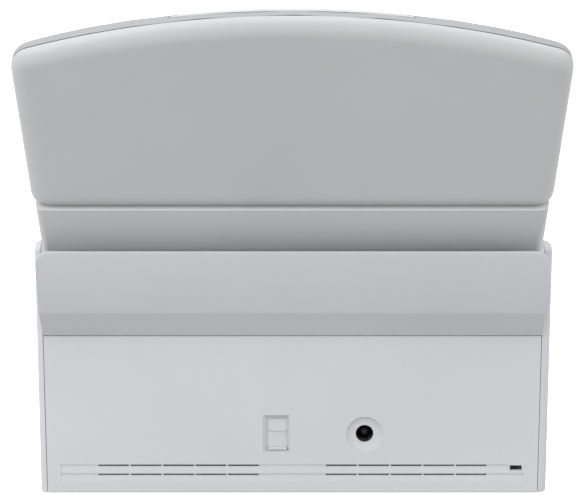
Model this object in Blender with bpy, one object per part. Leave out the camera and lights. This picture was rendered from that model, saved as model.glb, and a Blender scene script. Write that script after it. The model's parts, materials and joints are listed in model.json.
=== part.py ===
"""Desktop sheet-fed document scanner with its paper chute lid open, as named sub-parts."""
import math

import bmesh
import bpy
from mathutils import Matrix, Vector

# Overall sizes, in millimetres. Y is 0 at the back panel's outer face until Y_SHIFT is added.
BODY_W = 292.0
SIDE_T_LEFT = 3.9
SIDE_T_RIGHT = 5.4
LID_LEN = 153.4
LID_THICK = 13.0
GAP = 0.3
X_SHIFT = (SIDE_T_RIGHT - SIDE_T_LEFT) / 2
Y_SHIFT = 20.44
PIN_R = 2.0
SHAFT_R = 3.0
PANEL_T = 2.5
GUIDE_TRAVEL = 55.0
TYRE_R = 6.5

# Open lid: leans back from the vertical; closed lid: slopes down to the front.
LEAN = math.radians(34.76)
SLOPE = math.radians(38.0)
LID_FOOT = (12.2, 146.0)
HINGE = (-1.0, 143.0)
COVER_PIVOT = (-120.0, 37.0)
STOP_PIVOT = (-135.6, 16.0)
BAND_TOP = 29.2
CASE_FOOT = 1.0
SEAM_Z = 94.0
BAND_HALF_IN = 1.45
CORNER_R = 8.0
INLET = (-41.4, 35.9)

INNER_X = (BODY_W - SIDE_T_LEFT - SIDE_T_RIGHT) / 2
FRAME_X = INNER_X - 7.35
LID_HALF = INNER_X - 0.5
U = (math.sin(LEAN), math.cos(LEAN))
N = (math.cos(LEAN), -math.sin(LEAN))
UC = (-math.cos(SLOPE), -math.sin(SLOPE))
NC = (-math.sin(SLOPE), math.cos(SLOPE))
PATH_TOP = (-35.5, 100.0)
SEAT_Y = -(PANEL_T + GAP)
GUIDE_BACK = TYRE_R - SHAFT_R - 0.7
WINDOW_DEPTH = GUIDE_BACK + 1.2
SCAN_FACE = GUIDE_BACK + 0.4

PICK = (16.0, TYRE_R * 11.0 / 6.5 + GAP)
FEED = (32.0, TYRE_R + GAP)
EJECT = (64.0, TYRE_R + GAP)
PICK_TYRE_R = TYRE_R * 11.0 / 6.5
MOTOR = (-25.0, 45.0)
PITCH_R = 6.0
TEETH = 12

COLLECTION = bpy.data.collections.new("sheet_scanner")
CUTTERS = bpy.data.collections.new("cutters")


def lid_pt(t, h):
    return (LID_FOOT[0] + t * U[0] + h * N[0], LID_FOOT[1] + t * U[1] + h * N[1])


def hinge_pt(a, b):
    return (HINGE[0] + a * U[0] + b * N[0], HINGE[1] + a * U[1] + b * N[1])


def closed_pt(a, b):
    return (HINGE[0] + a * UC[0] + b * NC[0], HINGE[1] + a * UC[1] + b * NC[1])


def path_pt(s, k):
    return (PATH_TOP[0] - s * U[0] + k * N[0], PATH_TOP[1] - s * U[1] + k * N[1])


def on_slope(y, b):
    """Height of the plane parallel to the closed lid, b off the hinge axis, at depth y."""
    level = HINGE[0] * NC[0] + HINGE[1] * NC[1] + b
    return (level - y * NC[0]) / NC[1]


def place(axis, p, a):
    if axis == "X":
        return (a, p[0], p[1])
    if axis == "Y":
        return (p[0], a, p[1])
    return (p[0], p[1], a)


def rings(bm, loops):
    """Closed skin through a list of equal rings of points."""
    verts = [[bm.verts.new(Vector(p)) for p in loop] for loop in loops]
    n = len(loops[0])
    for a, b in zip(verts, verts[1:]):
        for i in range(n):
            bm.faces.new((a[i], a[(i + 1) % n], b[(i + 1) % n], b[i]))
    bm.faces.new(verts[0])
    bm.faces.new(list(reversed(verts[-1])))


def slab(bm, points, run):
    """Flat outline drawn out along a vector."""
    face = bm.faces.new([bm.verts.new(Vector(p)) for p in points])
    drawn = bmesh.ops.extrude_face_region(bm, geom=[face])["geom"]
    ends = [v for v in drawn if isinstance(v, bmesh.types.BMVert)]
    bmesh.ops.translate(bm, verts=ends, vec=Vector(run))


def prism(bm, axis, poly, a0, a1):
    slab(bm, [place(axis, p, a0) for p in poly], place(axis, (0.0, 0.0), a1 - a0))


def box(bm, x0, x1, y0, y1, z0, z1):
    mid = Vector((x0 + x1, y0 + y1, z0 + z1)) / 2
    size = Matrix.Diagonal((x1 - x0, y1 - y0, z1 - z0, 1.0))
    bmesh.ops.create_cube(bm, size=1.0, matrix=Matrix.Translation(mid) @ size)


def circle(centre, r, n=24, start=0.0):
    return [
        (
            centre[0] + r * math.cos(start + 2 * math.pi * i / n),
            centre[1] + r * math.sin(start + 2 * math.pi * i / n),
        )
        for i in range(n)
    ]


def rod(bm, axis, centre, r, a0, a1, n=24):
    turn = {"X": Matrix.Rotation(math.pi / 2, 4, "Y"), "Y": Matrix.Rotation(-math.pi / 2, 4, "X"),
            "Z": Matrix.Identity(4)}[axis]
    spot = Matrix.Translation(Vector(place(axis, centre, (a0 + a1) / 2)))
    bmesh.ops.create_cone(bm, cap_ends=True, segments=n, radius1=r, radius2=r, depth=abs(a1 - a0),
                          matrix=spot @ turn)


def turned(bm, axis, centre, outline, n=24):
    """Outline of (place along the axis, radius) points, spun a full turn about the axis."""
    verts = [bm.verts.new(Vector(place(axis, (centre[0] + r, centre[1]), a))) for a, r in outline]
    edges = [bm.edges.new((verts[i - 1], verts[i])) for i in range(len(verts))]
    line = Vector(place(axis, (0.0, 0.0), 1.0))
    bmesh.ops.spin(bm, geom=verts + edges, cent=Vector(place(axis, centre, 0.0)), axis=line,
                   angle=2 * math.pi, steps=n, use_merge=True)
    bmesh.ops.remove_doubles(bm, verts=bm.verts[:], dist=1e-4)


def ribbon(points, thick):
    """Polygon of a bent strip; the thickness lies to the right of the points' direction."""
    out = []
    count = len(points)
    for i, p in enumerate(points):
        dirs = []
        if i > 0:
            dirs.append((p[0] - points[i - 1][0], p[1] - points[i - 1][1]))
        if i < count - 1:
            dirs.append((points[i + 1][0] - p[0], points[i + 1][1] - p[1]))
        norms = []
        for d in dirs:
            length = math.hypot(*d)
            norms.append((d[1] / length, -d[0] / length))
        mx = sum(v[0] for v in norms) / len(norms)
        my = sum(v[1] for v in norms) / len(norms)
        scale = mx * mx + my * my
        out.append((p[0] + thick * mx / scale, p[1] + thick * my / scale))
    return list(points) + list(reversed(out))


def inset(poly, d):
    """Polygon moved inwards by d on every edge; poly runs anticlockwise."""
    out = []
    count = len(poly)
    for i, p in enumerate(poly):
        a, b = poly[i - 1], poly[(i + 1) % count]
        e0 = (p[0] - a[0], p[1] - a[1])
        e1 = (b[0] - p[0], b[1] - p[1])
        l0, l1 = math.hypot(*e0), math.hypot(*e1)
        n0, n1 = (-e0[1] / l0, e0[0] / l0), (-e1[1] / l1, e1[0] / l1)
        mx, my = (n0[0] + n1[0]) / 2, (n0[1] + n1[1]) / 2
        scale = mx * mx + my * my
        out.append((p[0] + d * mx / scale, p[1] + d * my / scale))
    return out


def material(name, rgb, rough, metal=0.0, alpha=1.0):
    mat = bpy.data.materials.new(name)
    mat.use_nodes = True
    node = mat.node_tree.nodes["Principled BSDF"]
    node.inputs["Base Color"].default_value = (*rgb, 1.0)
    node.inputs["Roughness"].default_value = rough
    node.inputs["Metallic"].default_value = metal
    node.inputs["Alpha"].default_value = alpha
    mat.diffuse_color = (*rgb, alpha)
    return mat


def solid(name, bm, mat=None, origin=(0.0, 0.0, 0.0), cutter=False):
    """Mesh object in metres whose own origin is the given point of the machine."""
    bmesh.ops.recalc_face_normals(bm, faces=bm.faces[:])
    for v in bm.verts:
        v.co = (v.co - Vector(origin)) * 0.001
    mesh = bpy.data.meshes.new(name)
    bm.to_mesh(mesh)
    bm.free()
    obj = bpy.data.objects.new(name, mesh)
    obj.location = Vector((origin[0] + X_SHIFT, origin[1] + Y_SHIFT, origin[2])) * 0.001
    if cutter:
        obj.hide_render = True
        obj.display_type = "WIRE"
        CUTTERS.objects.link(obj)
    else:
        mesh.materials.append(mat)
        COLLECTION.objects.link(obj)
    return obj


def combine(obj, bm, label, mode="DIFFERENCE"):
    tool = solid(obj.name + "_" + label, bm, cutter=True)
    mod = obj.modifiers.new(label, "BOOLEAN")
    mod.operation = mode
    mod.solver = "EXACT"
    mod.object = tool


def at(x, p):
    return (x, p[0], p[1])


def clear_file():
    for obj in list(bpy.data.objects):
        bpy.data.objects.remove(obj, do_unlink=True)
    bpy.context.scene.collection.children.link(COLLECTION)
    bpy.context.scene.collection.children.link(CUTTERS)


def build_materials():
    m = {}
    m["shell"] = material("shell_grey", (0.60, 0.61, 0.63), 0.55)
    m["lid"] = material("lid_grey", (0.50, 0.51, 0.52), 0.5)
    m["dark"] = material("dark_plastic", (0.05, 0.05, 0.055), 0.5)
    m["port"] = material("port_grey", (0.45, 0.46, 0.47), 0.5)
    m["steel"] = material("sheet_steel", (0.56, 0.57, 0.58), 0.35, 1.0)
    m["rod"] = material("ground_steel", (0.68, 0.68, 0.69), 0.2, 1.0)
    m["rubber"] = material("roller_rubber", (0.06, 0.06, 0.065), 0.8)
    m["foot"] = material("foot_rubber", (0.09, 0.09, 0.09), 0.9)
    m["glass"] = material("scan_glass", (0.75, 0.82, 0.84), 0.05, 0.0, 0.4)
    m["touch"] = material("touch_glass", (0.02, 0.02, 0.025), 0.08)
    m["board"] = material("circuit_board", (0.03, 0.18, 0.08), 0.45)
    m["belt"] = material("belt_rubber", (0.04, 0.04, 0.04), 0.7)
    m["acetal"] = material("white_acetal", (0.78, 0.78, 0.75), 0.45)
    return m


def build_case(m):
    half = INNER_X - GAP
    bm = bmesh.new()
    back = SEAT_Y - 0.2
    prism(bm, "X", [(-133, 2.3), (back, 2.3), (back, 12), (back - 1.6, 12), (back - 1.6, 4.3),
                    (-131.4, 4.3), (-131.4, 5.6), (-133, 5.6)], -half, half)
    solid("base_pan", bm, m["steel"])

    for sx, side in ((1, "left"), (-1, "right")):
        for y, end in ((-119, "front"), (-18, "rear")):
            bm = bmesh.new()
            turned(bm, "Z", (sx * 0.405 * BODY_W, y),
                   ((0.0, 0.0), (0.0, 6.9), (0.6, 7.5), (2.0, 7.5), (2.0, 0.0)), 20)
            solid("rubber_foot_" + end + "_" + side, bm, m["foot"])

    bm = bmesh.new()
    prism(bm, "X", [(-PANEL_T, CASE_FOOT), (-0.7, CASE_FOOT), (0, CASE_FOOT + 0.7), (0, SEAM_Z),
                    (-PANEL_T, SEAM_Z)], -half, half)
    rear = solid("rear_cover", bm, m["shell"])
    bm = bmesh.new()
    for z in (12.0, 17.4):
        ramp = [(0.5, z + 0.6), (-0.5, z + 0.6), (-0.5, z - 0.6), (0.0, z - 4.2), (0.5, z - 4.2)]
        prism(bm, "X", ramp, -124.6 if z > 14 else -133.0, 133.0)
    combine(rear, bm, "louvre_ramps")
    bm = bmesh.new()
    for z in (12.0, 17.4):
        for sx in (-1, 1):
            for i in range(5):
                x = 19.3 + 18.7 * i
                box(bm, min(sx * x, sx * (x + 17.6)), max(sx * x, sx * (x + 17.6)), -4, 1, z - 0.6, z + 0.6)
            far = 133.0 if sx > 0 else (124.6 if z > 14 else 133.0)
            box(bm, min(sx * 113.2, sx * far), max(sx * 113.2, sx * far), -0.6, 1, z - 0.6, z + 0.6)
        box(bm, -18.9, 18.9, -0.6, 1, z - 0.6, z + 0.6)
    box(bm, -132.0, -125.0, -4, 1, 14.5, 17.5)
    combine(rear, bm, "openings")
    bm = bmesh.new()
    mouth = ((2.9, 14.4, 26.2, 44.8, -4.0), (2.9, 14.4, 26.2, 44.8, -2.4), (1.6, 17.0, 25.6, 47.4, 0.0),
             (1.6, 17.0, 25.6, 47.4, 1.0))
    rings(bm, [[(x0, y, z0), (x1, y, z0), (x1, y, z1), (x0, y, z1)] for x0, x1, z0, z1, y in mouth])
    combine(rear, bm, "port_mouth")
    bm = bmesh.new()
    turned(bm, "Y", INLET, ((-4.0, 0.0), (-4.0, 5.05), (-2.05, 5.05), (-1.8, 7.4), (-1.1, 9.3), (0.0, 10.5),
                            (1.0, 10.5), (1.0, 0.0)), 48)
    combine(rear, bm, "inlet_dish")

    bm = bmesh.new()
    rise = (24.0 - 13.5) / 36.7
    r = 8.0
    stations = [-half + r * v * v for v in (0, 0.28, 0.55, 0.8, 1.0)]
    stations = stations + [-v for v in reversed(stations)]
    loops = []
    for x in stations:
        d = max(0.0, r - (half - abs(x)))
        zt = 146.7 - (r - math.sqrt(max(0.0, r * r - d * d))) * 0.98
        yt = 13.5 + (zt - 110) * rise
        yl = 13.5 + (zt - 2.4 - 110) * rise
        prof = [(0.3, SEAM_Z + GAP), (1.5, SEAM_Z + 0.6), (2.1, SEAM_Z + 1.5), (12.9, 109.4),
                (13.6, 110.6), (yl, zt - 2.4), (yt - 0.5, zt - 0.6),
                (yt - 1.6, zt), (yt - 3.0, zt - 0.6), (yt - 3.6, zt - 2.6), (11.0, 111.4),
                (10.4, 110.4), (-2.2, 97.4), (-2.2, SEAM_Z + GAP)]
        loops.append([(x, y, z) for y, z in prof])
    rings(bm, loops)
    top = solid("rear_top_cover", bm, m["shell"])
    bm = bmesh.new()
    prism(bm, "X", [(21.2, 145.6), (10.9, 144.1), (10.9, 142.9), (11.6, 142.3), (20.6, 143.6)], -129.0, 129.0)
    combine(top, bm, "inner_lip", "UNION")

    outline = [(0, CASE_FOOT), (0, 143.5), (-4.5, 148), (-7.5, 148),
               (-130.0, on_slope(-130.0, 6.2)), (-137.0, 41), (-137.0, 9), (-130.6, CASE_FOOT)]
    for sx, name, thick in ((1, "side_cover_left", SIDE_T_LEFT), (-1, "side_cover_right", SIDE_T_RIGHT)):
        bm = bmesh.new()
        loops = []
        for ang in (0, 30, 60, 90):
            a = math.radians(ang)
            d = (thick - 0.4) * (1 - math.cos(a))
            ring = [(y, z if z > 8 else CASE_FOOT + 0.2 * d) for y, z in inset(outline, d)]
            loops.append([(sx * (INNER_X + thick * math.sin(a)), y, z) for y, z in ring])
        rings(bm, loops)
        solid(name, bm, m["shell"])


def build_ports(m):
    bm = bmesh.new()
    box(bm, 0.8, 17.9, SEAT_Y - 4.5, SEAT_Y, 24.8, 48.2)
    plate = solid("usb_port_block", bm, m["port"])
    bm = bmesh.new()
    box(bm, 3.6, 13.7, SEAT_Y - 0.6, SEAT_Y + 0.6, 37.1, 38.3)
    box(bm, 3.2, 14.1, SEAT_Y - 0.6, -0.9, 26.5, 28.0)
    combine(plate, bm, "ridges", "UNION")

    bm = bmesh.new()
    box(bm, -50.4, -32.4, -16.0, SEAT_Y, 27.0, 44.8)
    inlet = solid("dc_inlet", bm, m["dark"])
    bm = bmesh.new()
    rod(bm, "Y", INLET, 4.9, -14.0, -2.0, 48)
    combine(inlet, bm, "bore")
    bm = bmesh.new()
    turned(bm, "Y", INLET, ((-13.7, 0.0), (-13.7, 2.15), (-6.6, 2.15), (-6.0, 1.6), (-6.0, 0.0)))
    solid("dc_inlet_pin", bm, m["rod"])

    bm = bmesh.new()
    box(bm, -137.0, -120.0, SEAT_Y - 1.6, SEAT_Y, 12.6, 22.0)
    lock = solid("lock_slot_plate", bm, m["steel"])
    bm = bmesh.new()
    box(bm, -132.0, -125.0, -6, -1, 14.5, 17.5)
    combine(lock, bm, "slot")

    bm = bmesh.new()
    box(bm, -62, 62, -9.2, -7.6, 50, 88)
    board = solid("main_board", bm, m["board"])
    bm = bmesh.new()
    box(bm, -40, -22, -12.4, -9.0, 60, 78)
    box(bm, -8, 10, -11.2, -9.0, 56, 74)
    box(bm, 26, 50, -15.5, -9.0, 72, 80)
    combine(board, bm, "chips", "UNION")
    bm = bmesh.new()
    wall = SEAT_Y - 1.5
    prism(bm, "X", [(-7.3, 52), (SEAT_Y, 52), (SEAT_Y, 86), (-7.3, 86), (-7.3, 80), (wall, 80),
                    (wall, 58), (-7.3, 58)], -56, 56)
    solid("board_bracket", bm, m["steel"])


def build_frame(m):
    outline = [(-6, 6.6), (-6, 131.0), (-8, 131.0), (-125, 39.3), (-130.5, 33.5), (-130.5, 6.6)]
    for sx, name in ((1, "side_frame_left"), (-1, "side_frame_right")):
        lo, hi = sorted((sx * FRAME_X, sx * (FRAME_X + 1.6)))
        bm = bmesh.new()
        prism(bm, "X", outline, lo, hi)
        plate = solid(name, bm, m["steel"])
        bm = bmesh.new()
        for s, k in (PICK, FEED, EJECT):
            rod(bm, "X", path_pt(s, k), SHAFT_R + 0.1, lo - 2, hi + 2)
        rod(bm, "X", COVER_PIVOT, 1.55, lo - 2, hi + 2)
        if sx > 0:
            rod(bm, "X", MOTOR, 5.0, lo - 2, hi + 2)
        combine(plate, bm, "holes")

    bm = bmesh.new()
    prism(bm, "X", ribbon([(-17, 112.0), (-5.5, 112.0), (-5.5, 92)], 1.5), -FRAME_X + GAP, FRAME_X - GAP)
    beam = solid("cross_beam", bm, m["steel"])
    arms, eyes = bmesh.new(), bmesh.new()
    for sx in (-1, 1):
        lo, hi = sorted((sx * 112.0, sx * 116.0))
        a0, a1 = math.radians(-20), math.radians(218)
        arc = [(HINGE[0] + 4.2 * math.cos(a0 + (a1 - a0) * i / 12),
                HINGE[1] + 4.2 * math.sin(a0 + (a1 - a0) * i / 12)) for i in range(13)]
        prism(arms, "X", arc + [(-0.5, on_slope(-0.5, -4.4)), (-5.2, on_slope(-5.2, -4.4)),
                                (-7.2, 111.0), (3.0, 111.0)], lo, hi)
        rod(eyes, "X", HINGE, PIN_R + 0.06, lo - 2, hi + 2)
    combine(beam, arms, "hinge_arms", "UNION")
    combine(beam, eyes, "eyes")

    edge = FRAME_X - 0.6
    top = [(15.6, 134.0), (3.0, on_slope(3.0, -4.6)), (-18.6, on_slope(-18.6, -4.6)), path_pt(2, 0.6)]
    bm = bmesh.new()
    prism(bm, "X", ribbon(list(reversed(top)), 2.4), -LID_HALF, LID_HALF)
    chute = solid("chute_plate", bm, m["lid"])
    bm = bmesh.new()
    for sx in (-1, 1):
        lo, hi = sorted((sx * edge, sx * (LID_HALF + 2.0)))
        box(bm, lo, hi, -60.0, -4.6, 90.0, 145.0)
    combine(chute, bm, "frame_room")
    bm = bmesh.new()
    for sx in (-1, 1):
        lo, hi = sorted((sx * 111.2, sx * 116.8))
        prism(bm, "X", [(-9.5, 128), (20, 128), (20, 146), (-9.5, 146)], lo, hi)
        lo, hi = sorted((sx * 44.0, sx * 111.0))
        prism(bm, "X", [path_pt(-14, -3), path_pt(-8, -3), path_pt(-8, 5), path_pt(-14, 5)], lo, hi)
    combine(chute, bm, "slots")

    bm = bmesh.new()
    rod(bm, "X", HINGE, PIN_R, -129.0, 129.0)
    solid("lid_hinge_pin", bm, m["rod"])


def tyre_spans(lo, hi):
    return ((lo, hi), (-hi, -lo))


def build_transport(m):
    edge = FRAME_X - 0.6
    bm = bmesh.new()
    prism(bm, "X", [path_pt(3.0, 0.8), path_pt(3.0, GUIDE_BACK), path_pt(73, GUIDE_BACK), path_pt(73, 0.8)],
          -edge, edge)
    guide = solid("rear_guide_plate", bm, m["dark"])
    bm = bmesh.new()
    for lo, hi in tyre_spans(9, 29):
        prism(bm, "X", [path_pt(7.6, 0), path_pt(7.6, WINDOW_DEPTH), path_pt(24.4, WINDOW_DEPTH),
                        path_pt(24.4, 0)], lo, hi)
    for s in (FEED[0], EJECT[0]):
        for lo, hi in tyre_spans(33, 53):
            prism(bm, "X", [path_pt(s - 6.4, 0), path_pt(s - 6.4, WINDOW_DEPTH),
                            path_pt(s + 6.4, WINDOW_DEPTH), path_pt(s + 6.4, 0)], lo, hi)
    prism(bm, "X", [path_pt(42.5, 0), path_pt(42.5, WINDOW_DEPTH), path_pt(55.5, WINDOW_DEPTH),
                    path_pt(55.5, 0)], -112, 112)
    combine(guide, bm, "windows")

    bm = bmesh.new()
    prism(bm, "X", [path_pt(42.8, 0.9), path_pt(42.8, GUIDE_BACK - 0.1),
                    path_pt(55.2, GUIDE_BACK - 0.1), path_pt(55.2, 0.9)],
          -111.7, 111.7)
    solid("rear_scan_glass", bm, m["glass"])
    bm = bmesh.new()
    prism(bm, "X", [path_pt(41, SCAN_FACE), path_pt(41, SCAN_FACE + 11.8), path_pt(44, SCAN_FACE + 14.8),
                    path_pt(53.5, SCAN_FACE + 14.8), path_pt(56.8, SCAN_FACE + 11.8),
                    path_pt(56.8, SCAN_FACE)], -114, 114)
    solid("rear_scan_unit", bm, m["dark"])

    bm = bmesh.new()
    curve = [path_pt(74.2, 0.9), (-83.0, 30.6), (-91.0, 25.0), (-104.0, 22.4), (-130.0, 21.2)]
    prism(bm, "X", ribbon(list(reversed(curve)), 2.0), -edge, edge)
    solid("exit_guide", bm, m["dark"])

    rollers = (
        ("pick_roller", PICK, PICK_TYRE_R, 10, 28, 8.0),
        ("feed_roller", FEED, TYRE_R, 34, 52, 6.0),
        ("eject_roller", EJECT, TYRE_R, 34, 52, 6.0),
    )
    for name, (s, k), r, lo, hi, pulley in rollers:
        c = path_pt(s, k)
        org = at(0, c)
        bm = bmesh.new()
        rod(bm, "X", c, SHAFT_R, -(FRAME_X + 3.0), INNER_X - 0.8)
        solid(name + "_shaft", bm, m["rod"], org)
        bm = bmesh.new()
        steps = ((-hi, r), (-lo, r), (-lo, SHAFT_R + 0.7), (lo, SHAFT_R + 0.7), (lo, r), (hi, r),
                 (hi, SHAFT_R + 0.03), (-hi, SHAFT_R + 0.03))
        turned(bm, "X", c, steps)
        solid(name + "_tyres", bm, m["rubber"], org)
        bm = bmesh.new()
        x0, x1 = INNER_X - 5.0, INNER_X - 1.0
        turned(bm, "X", c, ((x0, SHAFT_R + 0.03), (x0, pulley), (x1, pulley), (x1, SHAFT_R + 0.03)))
        solid(name + "_pulley", bm, m["acetal"], org)

    bm = bmesh.new()
    x0, x1 = FRAME_X - 31.0, FRAME_X - GAP
    turned(bm, "X", MOTOR, ((x0, 14.0), (x1 - 1.5, 14.0), (x1 - 1.5, 4.6), (x1 + 1.8, 4.6),
                            (x1 + 1.8, 1.6), (x0, 1.6)))
    solid("drive_motor", bm, m["steel"])
    bm = bmesh.new()
    turned(bm, "X", MOTOR, ((FRAME_X - 1.4, 0.0), (FRAME_X - 1.4, 1.5), (INNER_X - 5.0, 1.5),
                            (INNER_X - 5.0, 5.0), (INNER_X - 1.0, 5.0), (INNER_X - 1.0, 0.0)))
    solid("motor_pulley", bm, m["rod"], at(0, MOTOR))

    hull_in, hull_out = [], []
    for (y, z), r in ((path_pt(*PICK), 8.0), (path_pt(*FEED), 6.0), (path_pt(*EJECT), 6.0), (MOTOR, 5.0)):
        hull_in += circle((y, z), r + 0.3, 96)
        hull_out += circle((y, z), r + 1.5, 96)
    outer = thin(hull(hull_out), 0.9)
    inner = thin(hull(hull_in), 0.9)
    bm = bmesh.new()
    prism(bm, "X", outer, INNER_X - 4.6, INNER_X - 1.4)
    belt = solid("drive_belt", bm, m["belt"])
    bm = bmesh.new()
    prism(bm, "X", inner, INNER_X - 6.0, INNER_X)
    combine(belt, bm, "inside")


def hull(points):
    """Convex hull, anticlockwise."""
    pts = sorted(set((round(p[0], 5), round(p[1], 5)) for p in points))

    def half(seq):
        out = []
        for p in seq:
            while len(out) > 1 and ((out[-1][0] - out[-2][0]) * (p[1] - out[-2][1])
                                    - (out[-1][1] - out[-2][1]) * (p[0] - out[-2][0])) <= 1e-9:
                out.pop()
            out.append(p)
        return out[:-1]

    return half(pts) + half(list(reversed(pts)))


def thin(poly, step):
    """The polygon without vertices closer than step to the last one kept."""
    out = [poly[0]]
    for p in poly[1:]:
        if math.hypot(p[0] - out[-1][0], p[1] - out[-1][1]) >= step:
            out.append(p)
    return out


def build_front_cover(m):
    edge = FRAME_X - 0.6
    org = at(0, COVER_PIVOT)
    shell = [(-38.0, on_slope(-38.0, -4.5)), path_pt(8, -2.7), path_pt(68, -2.7), (-84.0, 38.2),
             (-96.0, 34.4), (-118.0, 32.6), (-125.6, 32.6), (-126.6, 33.6), (-126.6, 37.5),
             (-124.4, on_slope(-124.4, -4.5))]
    bm = bmesh.new()
    prism(bm, "X", list(reversed(shell)), -edge, edge)
    cover = solid("front_cover_shell", bm, m["dark"], org)
    bm = bmesh.new()
    prism(bm, "X", [(-46.0, on_slope(-46.0, -7.5)), path_pt(10.5, -1.0), path_pt(66, -1.0),
                    (-85.5, 41.0), (-97.0, 37.2), (-112.5, 36.0), (-112.5, on_slope(-112.5, -7.5))],
          -edge + 2.5, edge - 2.5)
    combine(cover, bm, "hollow")
    bm = bmesh.new()
    rod(bm, "X", COVER_PIVOT, 1.62, -edge - 2, edge + 2)
    combine(cover, bm, "pivot_holes")
    bm = bmesh.new()
    prism(bm, "X", [closed_pt(70, -6.6), closed_pt(70, -3), closed_pt(124, -3), closed_pt(124, -6.6)],
          -54, 54)
    combine(cover, bm, "panel_seat")

    bm = bmesh.new()
    rod(bm, "X", COVER_PIVOT, 1.5, -FRAME_X - 2.4, FRAME_X + 2.4)
    solid("front_cover_pin", bm, m["rod"])

    bm = bmesh.new()
    prism(bm, "X", [closed_pt(70.3, -6.3), closed_pt(70.3, -4.8), closed_pt(123.7, -4.8),
                    closed_pt(123.7, -6.3)], -53.7, 53.7)
    solid("touch_panel_glass", bm, m["touch"], org)
    bm = bmesh.new()
    prism(bm, "X", [closed_pt(76, -10.2), closed_pt(76, -7.9), closed_pt(116, -7.9),
                    closed_pt(116, -10.2)], -46, 46)
    solid("display_module", bm, m["steel"], org)

    bm = bmesh.new()
    plate = [path_pt(8.4, -0.8), path_pt(8.4, -2.4), path_pt(68, -2.4), path_pt(68, -0.8)]
    prism(bm, "X", list(reversed(plate)), -edge, edge)
    guide = solid("front_guide_plate", bm, m["dark"], org)
    bm = bmesh.new()
    prism(bm, "X", [path_pt(10.6, 0), path_pt(10.6, -4), path_pt(21.4, -4), path_pt(21.4, 0)], -29, 29)
    for s in (FEED[0], EJECT[0]):
        for lo, hi in tyre_spans(33, 53):
            prism(bm, "X", [path_pt(s - 4.8, 0), path_pt(s - 4.8, -4), path_pt(s + 3.6, -4),
                            path_pt(s + 3.6, 0)], lo, hi)
    prism(bm, "X", [path_pt(42.5, 0), path_pt(42.5, -4), path_pt(55.5, -4), path_pt(55.5, 0)], -112, 112)
    combine(guide, bm, "windows")

    bm = bmesh.new()
    prism(bm, "X", [path_pt(42.8, -0.9), path_pt(42.8, -2.3), path_pt(55.2, -2.3), path_pt(55.2, -0.9)],
          -111.7, 111.7)
    solid("front_scan_glass", bm, m["glass"], org)
    bm = bmesh.new()
    prism(bm, "X", [path_pt(41, -3.0), path_pt(41, -11), path_pt(44, -14), path_pt(54, -14),
                    path_pt(56.8, -11), path_pt(56.8, -3.0)], -114, 114)
    solid("front_scan_unit", bm, m["dark"], org)

    idlers = (("brake_roller", 16.0, 4.6, 10, 28), ("feed_idler", FEED[0] - 0.6, 3.6, 34, 52),
              ("eject_idler", EJECT[0] - 0.6, 3.6, 34, 52))
    for name, s, r, lo, hi in idlers:
        c = path_pt(s, -r - GAP)
        bm = bmesh.new()
        core = r - 2.4
        steps = ((-hi - 6, 0.0), (-hi - 6, core), (-hi, core), (-hi, r), (-lo, r), (-lo, core), (lo, core),
                 (lo, r), (hi, r), (hi, core), (hi + 6, core), (hi + 6, 0.0))
        turned(bm, "X", c, steps, 20)
        solid(name, bm, m["rubber"] if name == "brake_roller" else m["acetal"], at(0, c))


def lid_edge(x):
    """Upper end of the lid along its length, at distance x from the middle."""
    a = min(abs(x), LID_HALF)
    arc_r = 450.0
    t = LID_LEN - (arc_r - math.sqrt(arc_r * arc_r - a * a))
    r = 9.0
    d = a - (LID_HALF - r)
    if d > 0:
        t -= (r - math.sqrt(max(0.0, r * r - d * d)))
    return t


def lid_floor(x):
    """Lower edge of the outer panel, which turns up round its corners."""
    d = abs(x) - (LID_HALF - CORNER_R)
    rise = CORNER_R - math.sqrt(max(0.0, CORNER_R * CORNER_R - d * d)) if d > 0 else 0.0
    return BAND_TOP + rise


def lid_back(x):
    """Height of the lid's sheet side over its length, drawn up towards both edges."""
    return -LID_THICK + 1.2 * max(0.0, (abs(x) - LID_HALF + 40.85) / 40.85) ** 2


def pillow(d, w=12.0):
    if d >= w:
        return 1.0
    v = 1.0 - max(0.0, d) / w
    return math.sqrt(max(0.0, 1.0 - v * v))


def lid_stations():
    h = LID_HALF
    pos = [0, 45, 80, 100, 115, h - 14, h - 11, h - 8, h - 6, h - 4, h - 2.4, h - 1.2, h - 0.35, h]
    return [-x for x in reversed(pos[1:])] + pos


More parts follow.
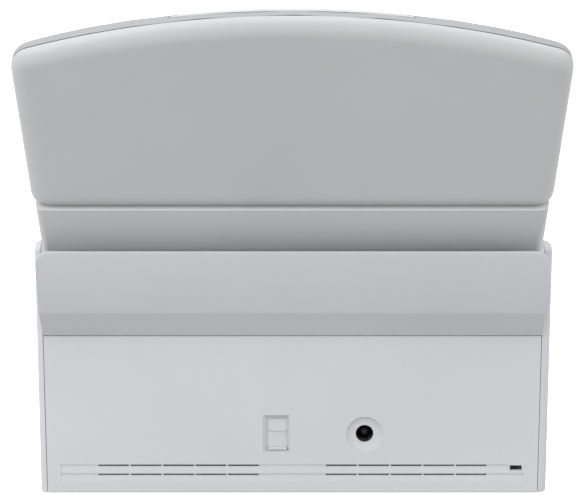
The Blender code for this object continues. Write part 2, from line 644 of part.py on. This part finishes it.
def build_lid(m):
    org = at(0, HINGE)
    edge_h, seat_h = -6.0, -6.9
    bm = bmesh.new()
    rows = []
    for x in lid_stations():
        side = pillow(LID_HALF - abs(x))
        t0, t1 = lid_floor(x) + GAP, lid_edge(x)
        steps = [0.0, 1.0, 2.6, 5.0, 8.5, 13.0]
        span = t1 - t0
        ts = [t0 + v for v in steps] + [t0 + span * 0.5] + [t1 - v for v in reversed(steps)]
        top = []
        for t in ts:
            rise = pillow(min(t - t0, t1 - t)) * side
            y, z = lid_pt(t, edge_h * (1 - rise))
            top.append((x, y, z))
        low = [(x, *lid_pt(t, seat_h)) for t in (t1, t0)]
        rows.append(top + low)
    rings(bm, rows)
    solid("lid_outer_shell", bm, m["lid"], org)

    bm = bmesh.new()
    loops = []
    for x in lid_stations():
        t_low = lid_floor(x) - (3.0 if abs(x) < LID_HALF - CORNER_R - 1 else 0.0)
        t_end, back = lid_edge(x), lid_back(x)
        prof = [(t_low, back), (t_low, seat_h - GAP), (t_end, seat_h - GAP), (t_end, back + 0.4),
                (t_end - 0.4, back)]
        loops.append([(x, *lid_pt(t, h)) for t, h in prof])
    rings(bm, loops)
    inner = solid("lid_inner_shell", bm, m["lid"], org)

    # Band across the foot of the lid: full depth above, a thin skirt over the hinge below.
    half = LID_HALF - BAND_HALF_IN
    pos = [0, 45, 80, 100, 115] + [half - v for v in (8, 5, 4, 3, 2, 1.1, 0.4, 0)]
    bm = bmesh.new()
    loops = []
    for x in [-v for v in reversed(pos[1:])] + pos:
        d = max(0.0, abs(x) - (half - 5.0)) / 5.0
        face = -0.7 - 5.9 * (1 - math.sqrt(max(0.0, 1 - d * d)))
        back = lid_back(x)
        t_low = -7.8 + 3.0 * d * d
        prof = [(-3.5, back), (-3.5, face - 1.6), (t_low, face - 1.6), (t_low, face - 0.6),
                (t_low + 0.6, face), (BAND_TOP - 0.5, face), (BAND_TOP, face - 0.5), (BAND_TOP, back)]
        loops.append([(x, *lid_pt(t, h)) for t, h in prof])
    rings(bm, loops)
    combine(inner, bm, "band", "UNION")
    bm = bmesh.new()
    for sx in (-1, 1):
        for lo, hi in ((100.0, 111.5), (116.5, 128.0)):
            a, b = sorted((sx * lo, sx * hi))
            arc = [hinge_pt(4.2 * math.cos(math.radians(v)), 4.2 * math.sin(math.radians(v)))
                   for v in range(90, 271, 15)]
            prism(bm, "X", arc + [hinge_pt(9.0, -4.2 + 0.9), hinge_pt(9.0, 4.2)], a, b)
    combine(inner, bm, "knuckles", "UNION")
    bm = bmesh.new()
    for sx in (-1, 1):
        a, b = sorted((sx * 98.0, sx * 130.0))
        rod(bm, "X", HINGE, PIN_R + 0.07, a, b)
    combine(inner, bm, "pin_holes")
    bm = bmesh.new()
    slot = [(-60.3, -10.6), (-60.3, -12.3), (-55.9, -12.3), (-55.9, -15.0), (55.9, -15.0),
            (55.9, -12.3), (60.3, -12.3), (60.3, -10.6)]
    slab(bm, [(x, *lid_pt(60.0, h)) for x, h in slot], at(0, [(LID_LEN - 54.0) * c for c in U]))
    combine(inner, bm, "extension_slot")

    bm = bmesh.new()
    bar = [(-60.0, -10.9), (-60.0, -12.0), (-55.6, -12.0), (-55.6, -13.0), (55.6, -13.0),
           (55.6, -12.0), (60.0, -12.0), (60.0, -10.9)]
    slab(bm, [(x, *lid_pt(60.4, h)) for x, h in bar], at(0, [(LID_LEN - 58.4) * c for c in U]))
    ext = solid("chute_extension", bm, m["shell"], at(0, lid_pt(LID_LEN - 4.5, -12)))
    bm = bmesh.new()
    xs = [8.0 * i for i in range(-8, 9)]
    plan = [(-64.0, 50.0)] + [(x, lid_edge(x) - 0.2) for x in xs] + [(64.0, 50.0)]
    slab(bm, [(x, *lid_pt(t, -18.0)) for x, t in plan], at(0, [12.0 * c for c in N]))
    combine(ext, bm, "arched_end", "INTERSECT")


def tooth_ring(n, r, tip, root, duty_tip, duty_root):
    """Gear outline of straight-sided teeth with one tooth on the first axis."""
    out = []
    pitch = 2 * math.pi / n
    for i in range(n):
        mid = i * pitch
        for radius, off in ((root, -duty_root), (tip, -duty_tip), (tip, duty_tip), (root, duty_root)):
            out.append((radius * math.cos(mid + off * pitch), radius * math.sin(mid + off * pitch)))
    return out


def build_guides(m):
    fence = [path_pt(-22, 0.2), path_pt(-2, 0.2), path_pt(-2, -3.4), (-34.6, 109.8)]
    for sx, name in ((1, "side_guide_left"), (-1, "side_guide_right")):
        x = 106.0
        org = at(sx * x, path_pt(-11, 0))
        bm = bmesh.new()
        lo, hi = sorted((sx * x, sx * (x + 3.0)))
        prism(bm, "X", fence, lo, hi)
        guide = solid(name, bm, m["lid"], org)
        bm = bmesh.new()
        lo, hi = sorted((sx * (x - 4.0), sx * (x + 3.0)))
        prism(bm, "X", [path_pt(-13.6, -0.6), path_pt(-13.6, 3.8), path_pt(-8.4, 3.8), path_pt(-8.4, -0.6)],
              lo, hi)
        combine(guide, bm, "foot", "UNION")
        bm = bmesh.new()
        y0, y1 = (-21.5, -8.4) if sx > 0 else (-13.6, -0.5)
        prism(bm, "X", [path_pt(y0, 3.4), path_pt(y0, 5.8), path_pt(y1, 5.8), path_pt(y1, 3.4)], lo, hi)
        combine(guide, bm, "foot_plate", "UNION")

        # Rack bar with straight teeth towards the pinion, a gap over its axis at rest.
        pitch = 2 * math.pi * PITCH_R / TEETH
        tooth_h = 1.9
        pl = []
        first = -2
        last = int(GUIDE_TRAVEL / pitch) + 2
        back, root = PITCH_R + 4.4, PITCH_R + 1.15
        bar = [(-3.2 * pitch, back), (-3.2 * pitch, root)]
        for i in range(first, last + 1):
            mid = (i + 0.5) * pitch
            bar += [(mid - 0.30 * pitch, root), (mid - 0.14 * pitch, root - tooth_h),
                    (mid + 0.14 * pitch, root - tooth_h), (mid + 0.30 * pitch, root)]
        bar += [(x - 3.0, root), (x - 3.0, back)]
        bm = bmesh.new()
        slab(bm, [(sx * px, *path_pt(-11.0 - sx * py, 3.5)) for px, py in bar], at(0, [2.2 * c for c in N]))
        combine(guide, bm, "rack", "UNION")

    c = path_pt(-11, 0)
    bm = bmesh.new()
    teeth = tooth_ring(TEETH, PITCH_R, PITCH_R + 0.85, PITCH_R - 1.25, 0.10, 0.23)
    slab(bm, [(px, *path_pt(-11 + py, 3.5)) for px, py in teeth], at(0, [2.2 * v for v in N]))
    pinion = solid("guide_pinion", bm, m["acetal"], at(0, c))
    bm = bmesh.new()
    slab(bm, [(px, *path_pt(-11 + py, 2.5)) for px, py in circle((0, 0), 1.62, 24)],
         at(0, [4.2 * v for v in N]))
    combine(pinion, bm, "bore")
    bm = bmesh.new()
    slab(bm, [(px, *path_pt(-11 + py, 3.3)) for px, py in circle((0, 0), 1.5, 16)],
         at(0, [3.3 * v for v in N]))
    solid("guide_pinion_axle", bm, m["rod"])


def build_stacker(m):
    for sx, name in ((1, "stacker_rail_left"), (-1, "stacker_rail_right")):
        bm = bmesh.new()
        pts = [(75.6, 5.0), (79.0, 5.0), (79.0, 18.0), (72.0, 18.0), (72.0, 16.6), (77.4, 16.6),
               (77.4, 6.4), (75.6, 6.4)]
        prism(bm, "Y", [(sx * x, z) for x, z in pts], -129.0, -28.0)
        solid(name, bm, m["steel"])
    bm = bmesh.new()
    box(bm, -75.0, 75.0, -133.6, -32.0, 7.0, 16.2)
    tray = solid("stacker_tray", bm, m["lid"], (0, -133.6, 11.6))
    bm = bmesh.new()
    box(bm, -70.3, 70.3, -140.0, -35.0, 8.8, 14.4)
    combine(tray, bm, "sleeve")
    bm = bmesh.new()
    box(bm, -70.0, 70.0, -133.4, -42.0, 9.1, 14.1)
    stage = solid("stacker_extension", bm, m["shell"], (0, -133.4, 11.6))
    bm = bmesh.new()
    for sx in (-1, 1):
        lo, hi = sorted((sx * 33.0, sx * 36.0))
        prism(bm, "X", [(-137.2, 11.0), (-137.2, 16.8), (-136.2, 17.8), (-134.9, 17.8),
                        (-133.9, 16.8), (-133.9, 14.0), (-132.0, 14.0), (-132.0, 11.0)], lo, hi)
    combine(stage, bm, "ears", "UNION")
    bm = bmesh.new()
    rod(bm, "X", STOP_PIVOT, 0.95, -36.0, 36.0, 12)
    stop = solid("stacker_stopper", bm, m["lid"], at(0, STOP_PIVOT))
    bm2 = bmesh.new()
    prism(bm2, "X", [(-136.8, 6.6), (-134.4, 6.6), (-134.4, 16.6), (-134.9, 17.2), (-136.3, 17.2),
                     (-136.8, 16.6)], -32.6, 32.6)
    combine(stop, bm2, "flap", "UNION")
    bm = bmesh.new()
    rod(bm, "X", STOP_PIVOT, 1.05, -37.0, 37.0, 12)
    combine(stage, bm, "ear_holes")


def build():
    clear_file()
    m = build_materials()
    build_case(m)
    build_ports(m)
    build_frame(m)
    build_transport(m)
    build_front_cover(m)
    build_lid(m)
    build_guides(m)
    build_stacker(m)


build()
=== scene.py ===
"""Looks of the sheet-fed document scanner: shells, lid, ports, light and camera."""
import json
import math

import bmesh
import bpy
from mathutils import Matrix, Vector

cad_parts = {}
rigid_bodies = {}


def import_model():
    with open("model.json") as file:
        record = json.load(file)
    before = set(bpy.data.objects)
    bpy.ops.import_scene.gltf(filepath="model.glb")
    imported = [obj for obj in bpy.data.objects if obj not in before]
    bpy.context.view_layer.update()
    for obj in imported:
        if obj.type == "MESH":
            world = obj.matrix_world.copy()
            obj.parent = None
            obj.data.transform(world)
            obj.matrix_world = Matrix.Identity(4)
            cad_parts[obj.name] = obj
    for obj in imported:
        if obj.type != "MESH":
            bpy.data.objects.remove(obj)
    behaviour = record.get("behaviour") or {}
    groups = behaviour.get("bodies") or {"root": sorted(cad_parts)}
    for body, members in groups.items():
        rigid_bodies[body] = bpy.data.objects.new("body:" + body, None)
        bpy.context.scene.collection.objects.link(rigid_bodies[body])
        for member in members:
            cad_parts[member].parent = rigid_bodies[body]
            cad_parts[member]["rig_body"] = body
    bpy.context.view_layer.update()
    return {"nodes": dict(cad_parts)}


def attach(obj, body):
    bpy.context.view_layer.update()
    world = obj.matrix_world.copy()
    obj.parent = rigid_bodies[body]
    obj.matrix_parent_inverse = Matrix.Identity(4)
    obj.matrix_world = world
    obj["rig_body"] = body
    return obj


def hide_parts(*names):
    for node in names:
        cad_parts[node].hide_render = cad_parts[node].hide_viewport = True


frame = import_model()
nodes = frame["nodes"]

MM = 0.001
ROUND_ANGLE = 32.0
X0 = 0.75
Y0 = 20.44
LEAN = math.radians(34.76)
ALONG = Vector((0.0, math.sin(LEAN), math.cos(LEAN)))
OUTWARD = Vector((0.0, math.cos(LEAN), -math.sin(LEAN)))
LID_FOOT_Y = 12.2
LID_FOOT_Z = 146.0
LID_FOOT = Vector((X0, LID_FOOT_Y + Y0, LID_FOOT_Z)) * MM
LID_HALF = 140.85
LID_LEN = 153.4
BAND_TOP = 29.2
CORNER_R = 8.0
END_ARC_R = 450.0
END_CORNER_R = 9.0
SIDE_ROLL = 12.0
END_ROLL = 9.0
ROLL_DEPTH = 6.0
PARTING_DEPTH = 0.4
PANEL_GAP = 0.3
LEDGE_HIGHLIGHT_REACH = 0.6


# ---------------------------------------------------------------- finishes

def shader(name):
    mat = bpy.data.materials.new(name)
    mat.use_nodes = True
    tree = mat.node_tree
    return mat, tree, tree.nodes["Principled BSDF"]


def add(tree, kind, **inputs):
    node = tree.nodes.new("ShaderNode" + kind)
    for key, value in inputs.items():
        node.inputs[key.replace("_", " ")].default_value = value
    return node


def moulded(name, colour, rough, grain=900.0, depth=0.00002, drift=0.025, spread=0.06, gloss=0.5):
    """Injection-moulded plastic: fine spark-eroded grain, cloudy sheen and slight colour drift."""
    mat, tree, out = shader(name)
    link = tree.links.new
    coord = add(tree, "TexCoord")
    fine = add(tree, "TexNoise", Scale=grain, Detail=3.0, Roughness=0.6)
    cell = add(tree, "TexVoronoi", Scale=grain * 1.7)
    cloud = add(tree, "TexNoise", Scale=9.0, Detail=2.0)
    for tex in (fine, cell, cloud):
        link(coord.outputs["Object"], tex.inputs["Vector"])
    tone = add(tree, "ValToRGB")
    low = [c * (1.0 - drift) for c in colour]
    high = [min(1.0, c * (1.0 + drift)) for c in colour]
    tone.color_ramp.elements[0].position = 0.3
    tone.color_ramp.elements[1].position = 0.7
    tone.color_ramp.elements[0].color = (*low, 1)
    tone.color_ramp.elements[1].color = (*high, 1)
    link(cloud.outputs["Fac"], tone.inputs["Fac"])
    fleck = add(tree, "MixRGB")
    fleck.blend_type = "MULTIPLY"
    fleck.inputs["Fac"].default_value = 0.05
    link(tone.outputs["Color"], fleck.inputs["Color1"])
    link(fine.outputs["Fac"], fleck.inputs["Color2"])
    link(fleck.outputs["Color"], out.inputs["Base Color"])
    band = add(tree, "MapRange")
    band.inputs["To Min"].default_value = rough - spread
    band.inputs["To Max"].default_value = rough + spread
    link(fine.outputs["Fac"], band.inputs["Value"])
    link(band.outputs["Result"], out.inputs["Roughness"])
    blend = add(tree, "Math")
    blend.operation = "ADD"
    link(fine.outputs["Fac"], blend.inputs[0])
    link(cell.outputs["Distance"], blend.inputs[1])
    bump = add(tree, "Bump", Strength=0.35, Distance=depth)
    link(blend.outputs["Value"], bump.inputs["Height"])
    link(bump.outputs["Normal"], out.inputs["Normal"])
    out.inputs["Specular IOR Level"].default_value = gloss
    return mat


def metal(name, colour, rough, stretch=(1.0, 40.0, 40.0), spangle=0.0):
    """Rolled or ground metal: brushed lines one way, and zinc spangle where asked."""
    mat, tree, out = shader(name)
    link = tree.links.new
    coord = add(tree, "TexCoord")
    turn = add(tree, "Mapping")
    turn.inputs["Scale"].default_value = stretch
    lines = add(tree, "TexNoise", Scale=60.0, Detail=4.0)
    link(coord.outputs["Object"], turn.inputs["Vector"])
    link(turn.outputs["Vector"], lines.inputs["Vector"])
    flake = add(tree, "TexVoronoi", Scale=220.0)
    link(coord.outputs["Object"], flake.inputs["Vector"])
    tone = add(tree, "ValToRGB")
    tone.color_ramp.elements[0].color = (*[c * 0.86 for c in colour], 1)
    tone.color_ramp.elements[1].color = (*colour, 1)
    mix = add(tree, "Math")
    mix.operation = "MULTIPLY_ADD"
    link(flake.outputs["Distance"], mix.inputs[0])
    mix.inputs[1].default_value = spangle
    link(lines.outputs["Fac"], mix.inputs[2])
    link(mix.outputs["Value"], tone.inputs["Fac"])
    link(tone.outputs["Color"], out.inputs["Base Color"])
    band = add(tree, "MapRange")
    band.inputs["To Min"].default_value = rough * 0.8
    band.inputs["To Max"].default_value = rough * 1.3
    link(lines.outputs["Fac"], band.inputs["Value"])
    link(band.outputs["Result"], out.inputs["Roughness"])
    bump = add(tree, "Bump", Strength=0.2, Distance=0.00003)
    link(lines.outputs["Fac"], bump.inputs["Height"])
    link(bump.outputs["Normal"], out.inputs["Normal"])
    out.inputs["Metallic"].default_value = 1.0
    return mat


def rubber(name, colour, rough, ribs=0.0):
    mat, tree, out = shader(name)
    link = tree.links.new
    coord = add(tree, "TexCoord")
    pores = add(tree, "TexNoise", Scale=1400.0, Detail=2.0)
    link(coord.outputs["Object"], pores.inputs["Vector"])
    tone = add(tree, "ValToRGB")
    tone.color_ramp.elements[0].color = (*[c * 0.8 for c in colour], 1)
    tone.color_ramp.elements[1].color = (*[c * 1.3 for c in colour], 1)
    link(pores.outputs["Fac"], tone.inputs["Fac"])
    link(tone.outputs["Color"], out.inputs["Base Color"])
    bump = add(tree, "Bump", Strength=0.5, Distance=0.00006)
    link(pores.outputs["Fac"], bump.inputs["Height"])
    link(bump.outputs["Normal"], out.inputs["Normal"])
    out.inputs["Roughness"].default_value = rough
    return mat


def clear_glass(name):
    mat, tree, out = shader(name)
    link = tree.links.new
    coord = add(tree, "TexCoord")
    smear = add(tree, "TexNoise", Scale=25.0, Detail=3.0)
    link(coord.outputs["Object"], smear.inputs["Vector"])
    band = add(tree, "MapRange")
    band.inputs["To Min"].default_value = 0.02
    band.inputs["To Max"].default_value = 0.09
    link(smear.outputs["Fac"], band.inputs["Value"])
    link(band.outputs["Result"], out.inputs["Roughness"])
    out.inputs["Base Color"].default_value = (0.8, 0.87, 0.88, 1)
    out.inputs["Transmission Weight"].default_value = 0.85
    out.inputs["IOR"].default_value = 1.5
    return mat


FINISH = {
    "shell": moulded("shell_plastic", (0.60, 0.605, 0.63), 0.55),
    "lid": moulded("lid_plastic", (0.558, 0.568, 0.573), 0.5),
    "hump": moulded("top_cover_plastic", (0.565, 0.57, 0.592), 0.55),
    # rim: the lid inner shell's plastic darkened, painted shade on its up-facing end
    "rim": moulded("lid_rim_painted_shade", (0.375, 0.38, 0.39), 0.5),
    # band: the same inner shell plastic in a mid tone, painted shade under the panel's overhang and beside
    # the hump
    "band": moulded("lid_band_painted_shade", (0.51, 0.515, 0.525), 0.5),
    # ledge: the same inner shell plastic lightened, a painted highlight on the ledge's up-facing top
    "ledge": moulded("lid_ledge_painted_highlight", (0.66, 0.66, 0.66), 0.45),
    "dark": moulded("black_plastic", (0.022, 0.022, 0.024), 0.5, grain=1100.0),
    "port": moulded("port_plastic", (0.60, 0.61, 0.64), 0.45, grain=1200.0),
    "inlet": moulded("inlet_plastic", (0.006, 0.006, 0.007), 0.4, grain=1500.0),
    "acetal": moulded("acetal", (0.72, 0.72, 0.69), 0.38, grain=1600.0, depth=0.00001),
    "touch": moulded("touch_panel_gloss", (0.008, 0.008, 0.01), 0.09, grain=400.0, depth=0.000004,
                     spread=0.02, gloss=0.6),
    "board": moulded("solder_mask", (0.015, 0.12, 0.05), 0.35, grain=600.0),
    "sheet": metal("zinc_sheet", (0.62, 0.63, 0.64), 0.34, spangle=0.35),
    "rod": metal("ground_rod", (0.72, 0.72, 0.73), 0.18, stretch=(60.0, 1.0, 1.0)),
    "jack": metal("jack_steel", (0.035, 0.035, 0.037), 0.6),
    "tyre": rubber("roller_rubber", (0.035, 0.035, 0.038), 0.78),
    "foot": rubber("foot_rubber", (0.05, 0.05, 0.05), 0.88),
    "belt": rubber("belt_rubber", (0.02, 0.02, 0.02), 0.7),
    "glass": clear_glass("scan_glass"),
}

NODE_FINISH = {
    "sheet": ["base_pan", "cross_beam", "lock_slot_plate", "board_bracket", "side_frame_left",
              "side_frame_right", "display_module", "drive_motor", "stacker_rail_left",
              "stacker_rail_right"],
    "hump": ["rear_top_cover"],
    "shell": ["rear_cover", "side_cover_left", "side_cover_right", "chute_extension",
              "stacker_extension"],
    "lid": ["lid_outer_shell", "chute_plate", "side_guide_left", "side_guide_right", "stacker_tray",
            "stacker_stopper"],
    "rim": ["lid_inner_shell"],
    "dark": ["rear_guide_plate", "rear_scan_unit", "exit_guide", "front_cover_shell",
             "front_guide_plate", "front_scan_unit"],
    "inlet": ["dc_inlet"],
    "port": ["usb_port_block"],
    "jack": ["dc_inlet_pin"],
    "board": ["main_board"],
    "rod": ["lid_hinge_pin", "front_cover_pin", "guide_pinion_axle", "motor_pulley",
            "pick_roller_shaft", "feed_roller_shaft", "eject_roller_shaft"],
    "tyre": ["pick_roller_tyres", "feed_roller_tyres", "eject_roller_tyres", "brake_roller"],
    "foot": ["rubber_foot_front_left", "rubber_foot_front_right", "rubber_foot_rear_left",
             "rubber_foot_rear_right"],
    "glass": ["rear_scan_glass", "front_scan_glass"],
    "touch": ["touch_panel_glass"],
    "belt": ["drive_belt"],
    "acetal": ["pick_roller_pulley", "feed_roller_pulley", "eject_roller_pulley", "feed_idler",
               "eject_idler", "guide_pinion"],
}
for finish, names in NODE_FINISH.items():
    for name in names:
        nodes[name].data.materials.clear()
        nodes[name].data.materials.append(FINISH[finish])


# ---------------------------------------------------------------- helpers

def piece(name, bm, finish, body, stands_for=(), smooth=35.0, merge=True):
    """Finished mesh in the machine's frame, riding on a body."""
    if merge:
        bmesh.ops.remove_doubles(bm, verts=bm.verts[:], dist=1e-6)
    mesh = bpy.data.meshes.new(name)
    bm.to_mesh(mesh)
    bm.free()
    mesh.materials.append(FINISH[finish])
    obj = bpy.data.objects.new(name, mesh)
    bpy.context.scene.collection.objects.link(obj)
    for poly in mesh.polygons:
        poly.use_smooth = True
    mesh.set_sharp_from_angle(angle=math.radians(smooth))
    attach(obj, body)
    if stands_for:
        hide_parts(*stands_for)
    return obj


def softened(node, finish, width, segments=3, angle=28.0):
    """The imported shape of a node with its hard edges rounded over."""
    source = nodes[node]
    bm = bmesh.new()
    bm.from_mesh(source.data)
    bmesh.ops.remove_doubles(bm, verts=bm.verts[:], dist=2e-6)
    bmesh.ops.dissolve_limit(bm, angle_limit=math.radians(0.6), verts=bm.verts[:], edges=bm.edges[:])
    obj = piece(node + "_looks", bm, finish, source["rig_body"], (node,), smooth=50.0, merge=False)
    mod = obj.modifiers.new("edge_round", "BEVEL")
    mod.width = width * MM
    mod.segments = segments
    mod.limit_method = "ANGLE"
    mod.angle_limit = math.radians(angle)
    mod.use_clamp_overlap = True
    mod.harden_normals = True
    return obj


def rounded(node, finish):
    """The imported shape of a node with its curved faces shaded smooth."""
    source = nodes[node]
    bm = bmesh.new()
    bm.from_mesh(source.data)
    return piece(node + "_finish", bm, finish, source["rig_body"], (node,), smooth=ROUND_ANGLE)


# ---------------------------------------------------------------- lid

def on_lid(x, t, h):
    return Vector((x * MM, 0, 0)) + LID_FOOT + ALONG * (t * MM) + OUTWARD * (h * MM)


def lid_end(x):
    a = min(abs(x), LID_HALF)
    t = LID_LEN - (END_ARC_R - math.sqrt(END_ARC_R ** 2 - a * a))
    d = a - (LID_HALF - END_CORNER_R)
    if d > 0:
        t -= END_CORNER_R - math.sqrt(max(0.0, END_CORNER_R ** 2 - d * d))
    return t


def lid_start(x):
    d = abs(x) - (LID_HALF - CORNER_R)
    return BAND_TOP + (CORNER_R - math.sqrt(max(0.0, CORNER_R ** 2 - d * d)) if d > 0 else 0.0)


def crown(d, width):
    v = 1.0 - min(1.0, max(0.0, d) / width)
    return math.sqrt(max(0.0, 1.0 - v * v))


def edge_eased(f):
    """Packs the cuts of a regular grid towards both ends of its run."""
    return 0.5 - 0.5 * math.cos(math.pi * f)


def outer_panel():
    bm = bmesh.new()
    bmesh.ops.create_grid(bm, x_segments=150, y_segments=72, size=0.5)
    for v in bm.verts:
        fx, ft = v.co.x + 0.5, v.co.y + 0.5
        fx = 0.35 * fx + 0.65 * edge_eased(fx)
        ft = 0.25 * ft + 0.75 * edge_eased(ft)
        x = (fx * 2 - 1) * LID_HALF
        t0, t1 = lid_start(x) + PANEL_GAP, lid_end(x)
        t = t0 + (t1 - t0) * ft
        rise = crown(LID_HALF - abs(x), SIDE_ROLL) * crown(min(t - t0, t1 - t), END_ROLL)
        v.co = on_lid(x, t, -ROLL_DEPTH * (1.0 - rise))
    skirt = bmesh.ops.extrude_edge_only(bm, edges=[e for e in bm.edges if e.is_boundary])
    for v in (g for g in skirt["geom"] if isinstance(g, bmesh.types.BMVert)):
        v.co += OUTWARD * (-PARTING_DEPTH * MM)
    bmesh.ops.recalc_face_normals(bm, faces=bm.faces[:])
    return piece("lid_outer_panel", bm, "lid", "lid", ("lid_outer_shell",), smooth=60.0)


outer_panel()
inner = softened("lid_inner_shell", "rim", 0.5, 2)
# Painted light on one moulded part: faces near BAND_TOP that point up the lid get the lighter painted
# highlight tone, the band below gets a painted shade mid tone, and the rest (the rim) keeps the darker
# painted shade tone.
inner.data.materials.append(FINISH["band"])
inner.data.materials.append(FINISH["ledge"])
for poly in inner.data.polygons:
    mid = poly.center - LID_FOOT
    along = mid.dot(ALONG) / MM
    if abs(along - BAND_TOP) < LEDGE_HIGHLIGHT_REACH and poly.normal.dot(ALONG) > 0.6:
        poly.material_index = 2
    elif along < BAND_TOP and poly.normal.dot(OUTWARD) > -0.3:
        poly.material_index = 1
softened("rear_top_cover", "hump", 0.7, 3)
softened("side_cover_left", "shell", 0.4, 2, angle=32)
softened("side_cover_right", "shell", 0.4, 2, angle=32)
for finish, names in NODE_FINISH.items():
    for name in names:
        if name.endswith(("_shaft", "_tyres", "_pulley", "_pin", "_axle", "_roller", "_idler", "_motor")) \
                or name.startswith(("rubber_foot", "dc_inlet", "drive_belt")):
            rounded(name, finish)
for name, finish, width in (
    ("usb_port_block", "port", 0.15),
    ("chute_plate", "lid", 0.4),
    ("front_cover_shell", "dark", 0.6),
    ("touch_panel_glass", "touch", 0.3),
    ("side_guide_left", "lid", 0.3),
    ("side_guide_right", "lid", 0.3),
    ("stacker_tray", "lid", 0.5),
    ("stacker_extension", "shell", 0.4),
    ("stacker_stopper", "lid", 0.4),
    ("chute_extension", "shell", 0.2),
    ("exit_guide", "dark", 0.3),
):
    softened(name, finish, width, 2)


# ---------------------------------------------------------------- stage

DOME = 0.86
DOME_TILT = 0.75
PAPER_WHITE = (0.93, 0.93, 0.93, 1)
FLOOR_HALF = 6.0
WALL_R = 5.0
WALL_HEIGHT = 8.0
WALL_MIDDLE = 3.9
KEY_PLACE = (0.95, 1.25, 1.15)
KEY_AIM = (0, 0.02, 0.14)
KEY_SIZE = 0.7
KEY_POWER = 8.0
FOCAL_MM = 96.02068965
SENSOR_MM = 36.0
LENS_SHIFT = -0.00413793
CAMERA_Y = 854.2
CAMERA_Z = 295.3
CAMERA_TILT = math.radians(80.0)


def studio():
    bm = bmesh.new()
    bmesh.ops.create_grid(bm, x_segments=1, y_segments=1, size=FLOOR_HALF)
    mesh = bpy.data.meshes.new("studio_floor")
    bm.to_mesh(mesh)
    bm.free()
    floor = bpy.data.objects.new("studio_floor", mesh)
    mat, tree, out = shader("floor_paper")
    coord = add(tree, "TexCoord")
    fibre = add(tree, "TexNoise", Scale=300.0)
    tree.links.new(coord.outputs["Object"], fibre.inputs["Vector"])
    bump = add(tree, "Bump", Strength=0.05, Distance=0.0001)
    tree.links.new(fibre.outputs["Fac"], bump.inputs["Height"])
    tree.links.new(bump.outputs["Normal"], out.inputs["Normal"])
    out.inputs["Base Color"].default_value = PAPER_WHITE
    out.inputs["Roughness"].default_value = 0.9
    out.inputs["Emission Color"].default_value = (1.0, 1.0, 1.0, 1)
    out.inputs["Emission Strength"].default_value = 0.75
    mesh.materials.append(mat)
    floor.visible_diffuse = False
    bpy.context.scene.collection.objects.link(floor)

    bm = bmesh.new()
    bmesh.ops.create_cone(bm, cap_ends=False, segments=96, radius1=WALL_R, radius2=WALL_R,
                          depth=WALL_HEIGHT, matrix=Matrix.Translation((0.0, 0.0, WALL_MIDDLE)))
    mesh = bpy.data.meshes.new("studio_wall")
    bm.to_mesh(mesh)
    bm.free()
    wall = bpy.data.objects.new("studio_wall", mesh)
    mat, tree, out = shader("wall_paper")
    coord = add(tree, "TexCoord")
    fibre = add(tree, "TexNoise", Scale=40.0)
    tree.links.new(coord.outputs["Object"], fibre.inputs["Vector"])
    bump = add(tree, "Bump", Strength=0.05, Distance=0.001)
    tree.links.new(fibre.outputs["Fac"], bump.inputs["Height"])
    tree.links.new(bump.outputs["Normal"], out.inputs["Normal"])
    out.inputs["Base Color"].default_value = PAPER_WHITE
    out.inputs["Emission Color"].default_value = (1.0, 1.0, 1.0, 1)
    out.inputs["Emission Strength"].default_value = 1.1
    mesh.materials.append(mat)
    for ray in ("diffuse", "glossy", "transmission", "shadow"):
        setattr(wall, "visible_" + ray, False)
    bpy.context.scene.collection.objects.link(wall)

    world = bpy.data.worlds.new("studio_air")
    bpy.context.scene.world = world
    world.use_nodes = True
    tree = world.node_tree
    back = tree.nodes["Background"]
    coord = add(tree, "TexCoord")
    split = add(tree, "SeparateXYZ")
    tree.links.new(coord.outputs["Generated"], split.inputs["Vector"])
    rise = add(tree, "MapRange")
    rise.inputs["From Min"].default_value = -1.0
    rise.inputs["From Max"].default_value = 1.0
    rise.inputs["To Min"].default_value = DOME * (1.0 - DOME_TILT)
    rise.inputs["To Max"].default_value = DOME * (1.0 + DOME_TILT)
    tree.links.new(split.outputs["Z"], rise.inputs["Value"])
    tree.links.new(rise.outputs["Result"], back.inputs["Strength"])
    back.inputs["Color"].default_value = (1.0, 1.0, 1.0, 1)

    data = bpy.data.lights.new("key_light", "AREA")
    data.size = KEY_SIZE
    data.energy = KEY_POWER
    lamp = bpy.data.objects.new("key_light", data)
    lamp.location = KEY_PLACE
    lamp.rotation_euler = (Vector(KEY_AIM) - Vector(KEY_PLACE)).to_track_quat("-Z", "Y").to_euler()
    bpy.context.scene.collection.objects.link(lamp)

    lens = bpy.data.cameras.new("camera")
    lens.lens = FOCAL_MM
    lens.sensor_width = SENSOR_MM
    lens.shift_x = LENS_SHIFT
    lens.clip_start, lens.clip_end = 0.05, 20.0
    camera = bpy.data.objects.new("camera", lens)
    camera.location = (X0 * MM, (CAMERA_Y + Y0) * MM, CAMERA_Z * MM)
    camera.rotation_euler = (CAMERA_TILT, 0.0, math.pi)
    bpy.context.scene.collection.objects.link(camera)
    bpy.context.scene.camera = camera
    bpy.context.scene.view_settings.view_transform = "Standard"


studio()
